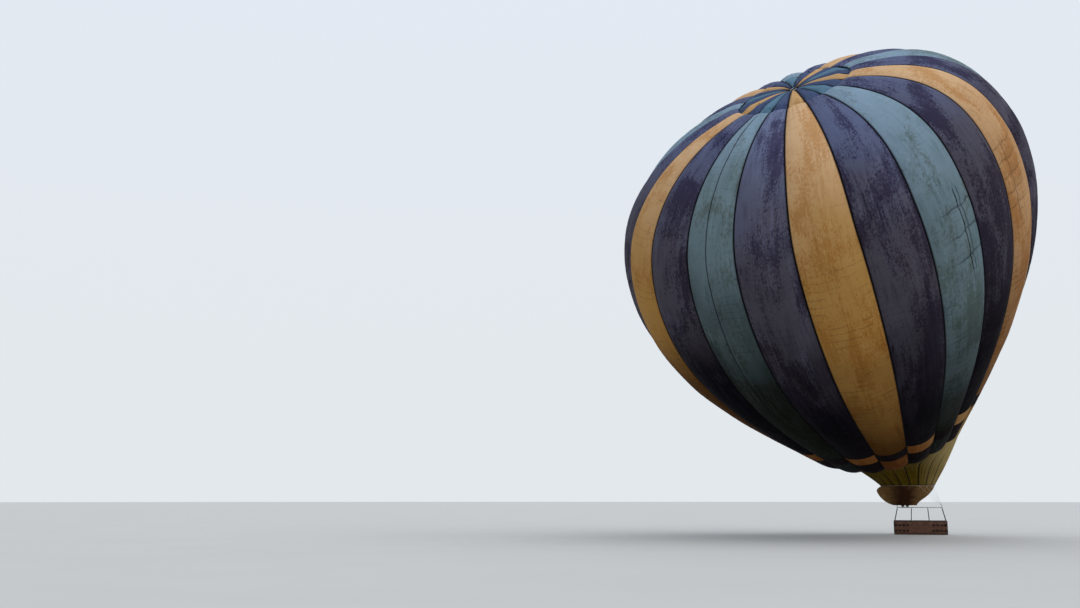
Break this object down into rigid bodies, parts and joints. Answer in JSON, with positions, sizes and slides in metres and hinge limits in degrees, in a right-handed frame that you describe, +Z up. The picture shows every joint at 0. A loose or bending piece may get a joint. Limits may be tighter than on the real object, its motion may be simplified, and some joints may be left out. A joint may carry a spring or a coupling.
{
  "type": "hot air balloon",
  "caption": "Large passenger hot air balloon with a gored, striped envelope leaning in the wind, a crown valve, a skirt, gimballed burners and a long wicker basket.",
  "frame": {"origin": "centre of lift, inside the envelope on its leaning axis, where the air holds the balloon up", "axes": "+Z up, +X along the basket's long side to the right, +Y away from the long side that the camera sees"},
  "size_m": [29.7641, 31.4291, 35.9433],
  "materials": {
    "orange_cloth": "coated nylon, dusty",
    "charcoal_cloth": "coated nylon, worn and streaked",
    "green_cloth": "coated nylon, dusty",
    "valve_cloth": "coated nylon, cleaner than the gores",
    "load_tape": "woven polyester tape",
    "skirt_cloth": "heat resistant cloth, sooty",
    "wicker": "woven cane, varnished",
    "leather": "padded suede and hide",
    "wood": "plywood and ash runners",
    "steel": "brushed",
    "burner_steel": "heat tinted",
    "tank_metal": "satin"
  },
  "bodies": {
    "balloon": {"gore_01": "orange_cloth", "gore_02": "charcoal_cloth", "gore_03": "green_cloth", "gore_04": "charcoal_cloth", "gore_05": "orange_cloth", "gore_06": "charcoal_cloth", "gore_07": "green_cloth", "gore_08": "charcoal_cloth", "gore_09": "orange_cloth", "gore_10": "charcoal_cloth", "gore_11": "green_cloth", "gore_12": "charcoal_cloth", "gore_13": "orange_cloth", "gore_14": "charcoal_cloth", "gore_15": "green_cloth", "gore_16": "charcoal_cloth", "gore_17": "orange_cloth", "gore_18": "charcoal_cloth", "gore_19": "green_cloth", "gore_20": "charcoal_cloth", "crown_tapes": "load_tape", "flying_wires": "steel", "skirt": "skirt_cloth", "load_frame": "steel", "pole_1": "leather", "pole_2": "leather", "pole_3": "leather", "pole_4": "leather", "pole_5": "leather", "pole_6": "leather", "pole_7": "leather", "pole_8": "leather", "basket_floor": "wood", "front_wall": "wicker", "back_wall": "wicker", "left_wall": "wicker", "right_wall": "wicker", "left_partition": "wicker", "right_partition": "wicker", "basket_rim": "leather", "fuel_tank_1": "tank_metal", "fuel_tank_2": "tank_metal", "fuel_tank_3": "tank_metal", "fuel_tank_4": "tank_metal"},
    "crown_valve": {"crown_valve": "valve_cloth"},
    "gimbal_ring": {"gimbal_ring": "steel"},
    "burner_block": {"burner_frame": "steel", "burner_1": "burner_steel", "burner_2": "burner_steel", "burner_3": "burner_steel", "burner_4": "burner_steel"}
  },
  "joints": [
    {"name": "crown_valve_slide", "type": "slide", "parent": "balloon", "child": "crown_valve", "axis": [0.2101, 0.6167, -0.7586], "range_m": [0, 2.4]},
    {"name": "gimbal_roll", "type": "hinge", "parent": "balloon", "child": "gimbal_ring", "pos_m": [4.763, 15.142, -19.966], "axis": [1, 0, 0], "range_deg": [-20, 20]},
    {"name": "burner_pitch", "type": "hinge", "parent": "gimbal_ring", "child": "burner_block", "pos_m": [4.763, 15.142, -19.966], "axis": [0, 1, 0], "range_deg": [-15, 15]}
  ]
}
